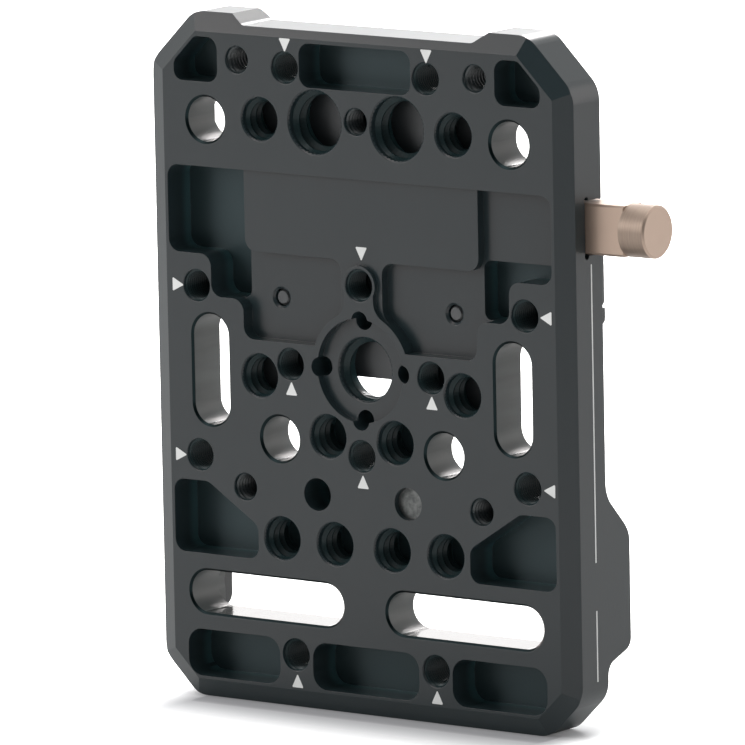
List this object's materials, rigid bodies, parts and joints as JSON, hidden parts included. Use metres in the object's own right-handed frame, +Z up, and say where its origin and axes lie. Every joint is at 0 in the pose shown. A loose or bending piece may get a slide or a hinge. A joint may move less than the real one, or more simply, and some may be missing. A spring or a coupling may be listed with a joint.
{
  "type": "battery plate",
  "caption": "Flat drilled camera plate with a V-shaped battery receiver on its back and a sprung pull lever at its side.",
  "frame": {"origin": "axis of the large threaded middle hole, on the drilled front face", "axes": "+Z up with the plate standing, +Y from the drilled face towards the battery, +X towards the release lever"},
  "size_m": [0.0869, 0.0142, 0.1029],
  "materials": {
    "black_anodised": "satin black anodised",
    "bronze_anodised": "satin bronze anodised",
    "cover_sheet": "satin black anodised sheet",
    "bright_steel": "ground",
    "black_screw": "black oxide"
  },
  "bodies": {
    "plate": {"base_plate": "black_anodised", "cover_screw_1": "black_screw", "cover_screw_2": "black_screw", "cover_screw_3": "black_screw", "cover_screw_4": "black_screw", "cover_screw_5": "black_screw", "keeper_screw_1": "black_screw", "keeper_screw_2": "black_screw", "latch_spring": "bright_steel", "lever_keeper": "cover_sheet", "mechanism_cover": "cover_sheet", "spring_post": "bright_steel", "steel_plug": "bright_steel"},
    "lever": {"catch_screw_1": "black_screw", "catch_screw_2": "black_screw", "latch_catch": "bright_steel", "release_lever": "bronze_anodised"}
  },
  "joints": [
    {"name": "lever_slide", "type": "slide", "parent": "plate", "child": "lever", "axis": [1, 0, 0], "range_m": [0, 0.004], "stiffness_N_per_m": 300, "springref_m": -0.012, "deforming": ["latch_spring"]}
  ]
}
